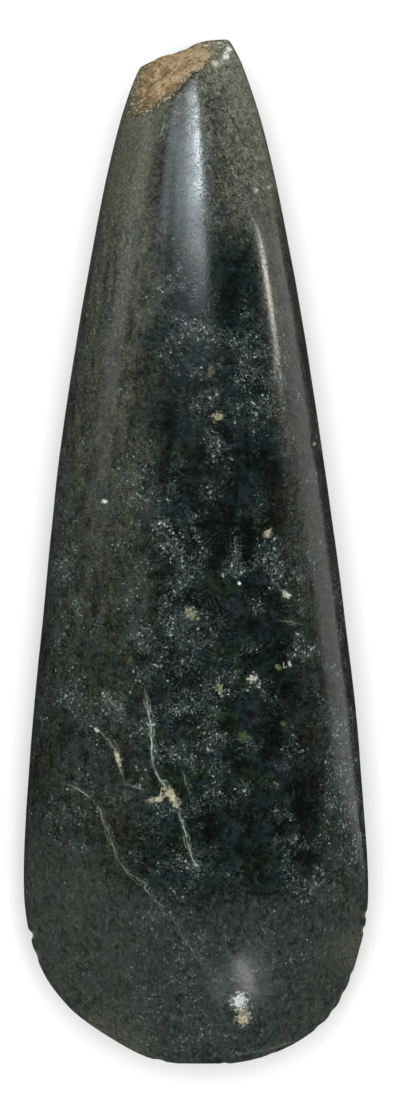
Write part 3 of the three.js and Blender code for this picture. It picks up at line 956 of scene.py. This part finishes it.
def polished_greenstone(finish):
    """The whole stone: its grain and veins, the patina and the greyer blade, both partly painted sheen,
    the scratched side of the butt, dust and painted reflection under the break, and the rough weathered
    break."""
    recipe = Recipe("polished_greenstone")
    place = recipe.place()
    fine = recipe.noise(place, 1.9, 4.0, 0.7)
    broad = recipe.noise(place, 0.55, 4.0, 0.7)
    smears = recipe.noise(recipe.stretch(place, (1.5, 0.6, 1.5)), 1.0, 5.0, 0.75)
    # The blade's grey is partly a painted sheen of the bevel, broken up by smears.
    grey = recipe.times(recipe.span(smears, 0.38, 0.60, 0.45, 1.0), recipe.span(broad, 0.36, 0.62, 0.55, 1.0))
    blade = recipe.times(recipe.attribute("blade"), grey)
    # Where the brown film lies. It also carries the shoulders' painted sheen.
    streaks = recipe.noise(recipe.stretch(place, (1.0, 0.35, 1.0)), 0.6, 4.0, 0.65)
    cover = recipe.times(recipe.span(streaks, 0.32, 0.62, 0.35, 1.0), recipe.span(fine, 0.35, 0.6, 0.5, 1.0))
    thick = recipe.along(place, FILM_AND_SHEEN_THICKENS)
    thick = recipe.times(thick, recipe.span(fine, 0.35, 0.6, 0.55, 1.0))
    cover = recipe.larger(cover, thick)
    film_and_sheen = recipe.times(recipe.attribute("patina_and_sheen"), cover)
    colour = stone_colour(recipe, finish, place, film_and_sheen, blade)
    colour = add_veins(recipe, finish, place, colour)

    scratched = recipe.attribute("scratched")
    bent = recipe.shift(place, recipe.scale(recipe.noise(place, 0.5, 2.0, 0.5, "Color"), 2.5))
    slanted = recipe.stretch(recipe.turn(bent, 0.9), (0.3, 5.5, 1.0))
    crossing = recipe.stretch(recipe.turn(bent, -0.5), (0.35, 6.0, 1.0))
    scratch = recipe.larger(
        recipe.span(recipe.noise(slanted, 1.0, 2.0, 0.6), 0.56, 0.62),
        recipe.span(recipe.noise(crossing, 1.0, 2.0, 0.6), 0.60, 0.66, 0.0, 0.8),
    )
    dust_patches = recipe.span(recipe.noise(place, 0.8, 6.0, 0.85), 0.40, 0.62, 0.05, 1.0)
    crumbly = recipe.span(recipe.noise(place, 3.2), 0.38, 0.6, 0.3, 1.0)
    uneven = recipe.span(recipe.noise(recipe.shift(place, (2, 8, 6)), 0.28), 0.38, 0.6, 0.55, 1.0)
    dust_patches = recipe.times(dust_patches, recipe.times(crumbly, uneven))
    colour = recipe.blend(recipe.times(scratched, dust_patches), colour, finish.dust)
    worn = recipe.larger(scratched, recipe.times(film_and_sheen, 0.5))
    pale = recipe.times(scratch, recipe.span(fine, 0.40, 0.62, 0.1, 1.0))
    colour = recipe.blend(recipe.times(pale, worn), colour, finish.lichen)
    # Dust just under the break. It is also a painted reflection that lightens the band where the polish
    # mirrors no lamp.
    dust_and_sheen_below_break = recipe.times(recipe.along(place, DUST_AND_SHEEN_UNDER_BREAK, 0.0, 0.8), dust_patches)
    colour = recipe.blend(dust_and_sheen_below_break, colour, finish.dust)
    # Grey green under the break's right end. It is spread left as a painted reflection over the dark notch
    # below the rim.
    lichen_and_sheen_near_break = recipe.times(
        recipe.along(place, LICHEN_AND_SHEEN_UNDER_BREAK),
        recipe.across(place, LICHEN_AND_SHEEN_ACROSS, 0.0, 0.75),
    )
    colour = recipe.blend(recipe.times(lichen_and_sheen_near_break, dust_patches), colour, finish.lichen)

    depth = recipe.attribute("broken")
    rim = recipe.times(recipe.minus(fine, 0.5), 1.3)
    broken = recipe.span(recipe.plus(depth, rim), -0.05, 0.15)
    colour = recipe.blend(broken, colour, broken_colour(recipe, finish, place, depth))
    colour, inclusion = add_inclusions(recipe, finish, place, colour)
    flaked = recipe.times(recipe.attribute("flaked"), recipe.span(fine, 0.35, 0.6, 0.2, 0.9))
    colour = recipe.blend(flaked, colour, finish.lichen)
    recipe.plug(recipe.shader.inputs["Base Color"], colour)

    rough = recipe.span(fine, 0.35, 0.65, finish.gloss * 0.75, finish.gloss * 1.3)
    rough = recipe.times(rough, recipe.span(recipe.attribute("blade"), 0.0, 1.0, 1.0, 0.75))
    matt_film = recipe.times(film_and_sheen, recipe.along(place, FILM_TURNS_GLOSSIER, 0.16, 0.04))
    rough = recipe.plus(rough, matt_film)
    rough = recipe.plus(rough, recipe.times(scratched, 0.22))
    rough = recipe.plus(rough, recipe.times(inclusion, 0.3))
    rough = recipe.plus(rough, recipe.times(broken, 0.45), True)
    recipe.plug(recipe.shader.inputs["Roughness"], rough)
    recipe.shader.inputs["IOR"].default_value = STONE_IOR
    matt = recipe.plus(recipe.times(scratched, 0.9), recipe.times(film_and_sheen, 0.3), True)
    matt = recipe.larger(matt, recipe.larger(broken, recipe.times(inclusion, 0.7)))
    polish = recipe.times(recipe.minus(1.0, matt), recipe.span(fine, 0.35, 0.6, 0.45, 0.7))
    recipe.plug(recipe.shader.inputs["Coat Weight"], polish)
    recipe.shader.inputs["Coat Roughness"].default_value = POLISH_ROUGHNESS
    recipe.shader.inputs["Coat IOR"].default_value = STONE_IOR

    pores = recipe.noise(recipe.stretch(recipe.turn(place, 0.25), (2.6, 1.3, 2.0)), 1.0, 3.0, 0.65)
    lines = recipe.times(scratch, recipe.larger(scratched, 0.12))
    skin = recipe.bump(recipe.plus(pores, recipe.times(lines, 1.6)), 0.013 * MM)
    crumbs = recipe.times(recipe.noise(place, 2.2, 5.0, 0.7), broken)
    normal = recipe.bump(crumbs, 0.5 * MM, skin)
    recipe.plug(recipe.shader.inputs["Normal"], normal)
    recipe.plug(recipe.shader.inputs["Coat Normal"], normal)
    return recipe.material


class AXE_OT_stone(bpy.types.Operator):
    """Makes the polished stone axe head with its break, flaked edge, veins, and a patina that is partly
    painted sheen
    """

    bl_idname = "axe.stone"
    bl_label = "Stone Axe Head"

    def execute(self, context):
        shape = context.scene.axe_shape
        grid, depth, flaked = stone_surface(shape)

        def close(values):
            """The first ring as one point, the rings between, and the last ring as one point."""
            inner = values[1:-1].reshape(-1, *values.shape[2:])
            return np.concatenate([values[:1, 0], inner, values[-1:, 0]])

        points = close(grid)
        low, high = points.min(axis=0), points.max(axis=0)
        solid_middle = (np.array(solid_low) + np.array(solid_high)) / 2
        points[:, :2] += (solid_middle - (low + high) / 2)[:2]
        # This is one ring too many. The mesh check drops the faces past the last point, among them
        # the last fan, so the skin is open at the tip of the cutting edge. RINGS would close it.
        quads, fans = closed_grid_faces(RINGS + 1, UPPER_POINTS + LOWER_POINTS)
        stone = mesh_from_arrays("axe_stone", points, quads, fans)
        paint_stone(shape, stone, points, close(depth), close(flaked))
        stone.data.materials.append(polished_greenstone(context.scene.axe_finish))
        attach(stone, "root")
        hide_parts("axe_head")
        return {"FINISHED"}


# The table's disc, in metres, its grid, and the gap that keeps it just under the stone.
TABLE_RADIUS, TABLE_RISE = 3.2, 1.0
TABLE_RINGS, TABLE_AROUND = 41, 96
TABLE_GAP = 0.05 * MM
TABLE_ROUGHNESS, TABLE_SPECULAR = 0.9, 0.1

# The camera looks straight down from a little off the middle. The frame is higher than wide, so the
# sensor's size is its height. Pixels: the height of the frame and of the stone in it.
CAMERA_PLACE = (0.97 * MM, 0.39 * MM)
SENSOR = 36
FRAME_PIXELS, STONE_PIXELS = 1100, 1026

# The lamps: name, point aimed at, heading, tilt, distance, width and height, brightness, colour, and
# whether it lights what it shines on or only shows in the polish.
WHITE, WARM, COOL = (1.0, 1.0, 1.0), (1.0, 0.94, 0.86), (0.86, 0.96, 1.0)
BUTT, UPPER, BLADE = (0, 0.07, 0.025), (0, 0.045, 0.02), (0.008, -0.073, 0.02)
LAMPS = (
    ("left_side", UPPER, 162, 62, 0.8, (0.34, 0.26), 0.8, WHITE, True),
    ("right_side", UPPER, 4, 101, 0.8, (0.50, 0.52), 0.85, WHITE, False),
    ("right_streak", UPPER, 18.3, 75.6, 0.8, (0.145, 0.045), 28.0, WARM, True),
    ("butt_core", BUTT, 75, 23.7, 0.75, (0.04, 0.016), 135.0, COOL, True),
    ("butt_ridge", BUTT, 79, 20.3, 0.75, (0.16, 0.12), 6.6, COOL, True),
    ("butt_haze", BUTT, 102, 22.5, 0.75, (0.22, 0.10), 4.5, COOL, True),
    ("butt_left", BUTT, 130, 30, 0.75, (0.16, 0.09), 3.4, COOL, True),
    ("blade_spot", BLADE, -69, 51, 0.75, (0.045, 0.022), 16.0, WARM, True),
    ("blade_haze", BLADE, -72, 52, 0.75, (0.30, 0.09), 1.1, COOL, True),
)
OVERHEAD_AIM, OVERHEAD_HEIGHT, OVERHEAD_SIZE = (0, 0, 0.015), 1.6, (1.6, 1.6)
ROOM = (0.025, 0.025, 0.025, 1)


def soft_light(name, aim, heading, tilt, distance, size, brightness, colour=WHITE):
    """A flat rectangular light that faces aim. It is seen from there at heading, in degrees from +X
    towards +Y, and tilt, in degrees from straight up. Its size is its width, which is level, and its
    height. Its surface has the brightness asked for."""
    h, t = math.radians(heading), math.radians(tilt)
    away = Vector((math.cos(h) * math.sin(t), math.sin(h) * math.sin(t), math.cos(t)))
    data = bpy.data.lights.new(name, "AREA")
    data.shape = "RECTANGLE"
    data.size, data.size_y = size
    data.energy = brightness * math.pi * size[0] * size[1]
    data.color = colour
    light = bpy.data.objects.new(name, data)
    light.rotation_euler = away.to_track_quat("Z", "Y").to_euler()
    light.location = Vector(aim) + away * distance
    light.visible_camera = False
    bpy.context.scene.collection.objects.link(light)
    return light


def table_surface(radius, rise, steps, around):
    """A disc whose rim curves up: the radius grows to its full size while the height follows a
    quarter circle past the flat part."""
    t = np.linspace(0, 1, steps)[:, None]
    angle = 2 * np.pi * np.arange(around)[None, :] / around
    flat = radius - rise
    bend = np.clip((t - 0.5) / 0.5, 0, 1) * np.pi / 2
    reach = np.where(t < 0.5, flat * t / 0.5, flat + rise * np.sin(bend))
    height = np.where(t < 0.5, 0, rise * (1 - np.cos(bend)))
    return np.stack([reach * np.cos(angle), reach * np.sin(angle), height + 0 * angle], axis=-1)


class AXE_OT_stage(bpy.types.Operator):
    """Makes the pale table, the soft lights and the camera that looks straight down"""

    bl_idname = "axe.stage"
    bl_label = "Table, Light and Camera"

    def execute(self, context):
        settings = context.scene.axe_table
        shape = context.scene.axe_shape
        around = TABLE_AROUND
        grid = table_surface(TABLE_RADIUS, TABLE_RISE, TABLE_RINGS, around)
        points = np.concatenate([grid[0, :1], grid[1:].reshape(-1, 3)])
        points[:, 2] -= TABLE_GAP
        j = np.arange(around)
        after = (j + 1) % around
        ring = 1 + np.arange(TABLE_RINGS - 2)[:, None] * around
        quads = np.stack([ring + j, ring + around + j, ring + around + after, ring + after], axis=-1)
        quads = quads.reshape(-1, 4)
        fan = np.stack([np.zeros(around, int), 1 + j, 1 + after], axis=-1)
        table = mesh_from_arrays("pale_table", points, quads, fan)
        recipe = Recipe("pale_table")
        recipe.shader.inputs["Base Color"].default_value = recipe.opaque(settings.floor_colour)
        recipe.shader.inputs["Roughness"].default_value = TABLE_ROUGHNESS
        recipe.shader.inputs["Specular IOR Level"].default_value = TABLE_SPECULAR
        table.data.materials.append(recipe.material)
        # The stone's rims mirror the dark room, not the pale table.
        table.visible_glossy = False

        for *lamp, brightness, colour, lights_things in LAMPS:
            light = soft_light(*lamp, brightness * settings.side_light, colour)
            light.visible_diffuse = lights_things
        overhead = (OVERHEAD_AIM, 0, 0, OVERHEAD_HEIGHT, OVERHEAD_SIZE)
        soft_light("overhead", *overhead, settings.fill_light).visible_glossy = False

        world = bpy.data.worlds.new("dim_room")
        world.use_nodes = True
        world.node_tree.nodes["Background"].inputs["Color"].default_value = ROOM
        context.scene.world = world

        camera_data = bpy.data.cameras.new("camera")
        camera_data.lens = settings.lens
        camera_data.sensor_width = SENSOR
        view_height = shape.length * FRAME_PIXELS / STONE_PIXELS
        distance = view_height * settings.lens / camera_data.sensor_width
        camera = bpy.data.objects.new("camera", camera_data)
        camera.location = (*CAMERA_PLACE, shape.thickness / 2 + distance)
        context.scene.collection.objects.link(camera)
        context.scene.camera = camera
        context.scene.view_settings.view_transform = "Standard"
        return {"FINISHED"}


class AXE_PT_sidebar(bpy.types.Panel):
    bl_label = "Stone Axe"
    bl_idname = "AXE_PT_sidebar"
    bl_space_type = "VIEW_3D"
    bl_region_type = "UI"
    bl_category = "Stone Axe"

    def draw(self, context):
        layout = self.layout
        for settings in (context.scene.axe_shape, context.scene.axe_finish, context.scene.axe_table):
            box = layout.box()
            for name in settings.__annotations__:
                box.prop(settings, name)
        layout.operator("axe.stone")
        layout.operator("axe.stage")


CLASSES = (StoneShape, StoneFinish, TableSettings, AXE_OT_stone, AXE_OT_stage, AXE_PT_sidebar)


def register():
    for cls in CLASSES:
        bpy.utils.register_class(cls)
    bpy.types.Scene.axe_shape = bpy.props.PointerProperty(type=StoneShape)
    bpy.types.Scene.axe_finish = bpy.props.PointerProperty(type=StoneFinish)
    bpy.types.Scene.axe_table = bpy.props.PointerProperty(type=TableSettings)


def unregister():
    del bpy.types.Scene.axe_table
    del bpy.types.Scene.axe_finish
    del bpy.types.Scene.axe_shape
    for cls in reversed(CLASSES):
        bpy.utils.unregister_class(cls)


def main():
    register()
    bpy.ops.axe.stone()
    bpy.ops.axe.stage()


if __name__ == "__main__":
    main()
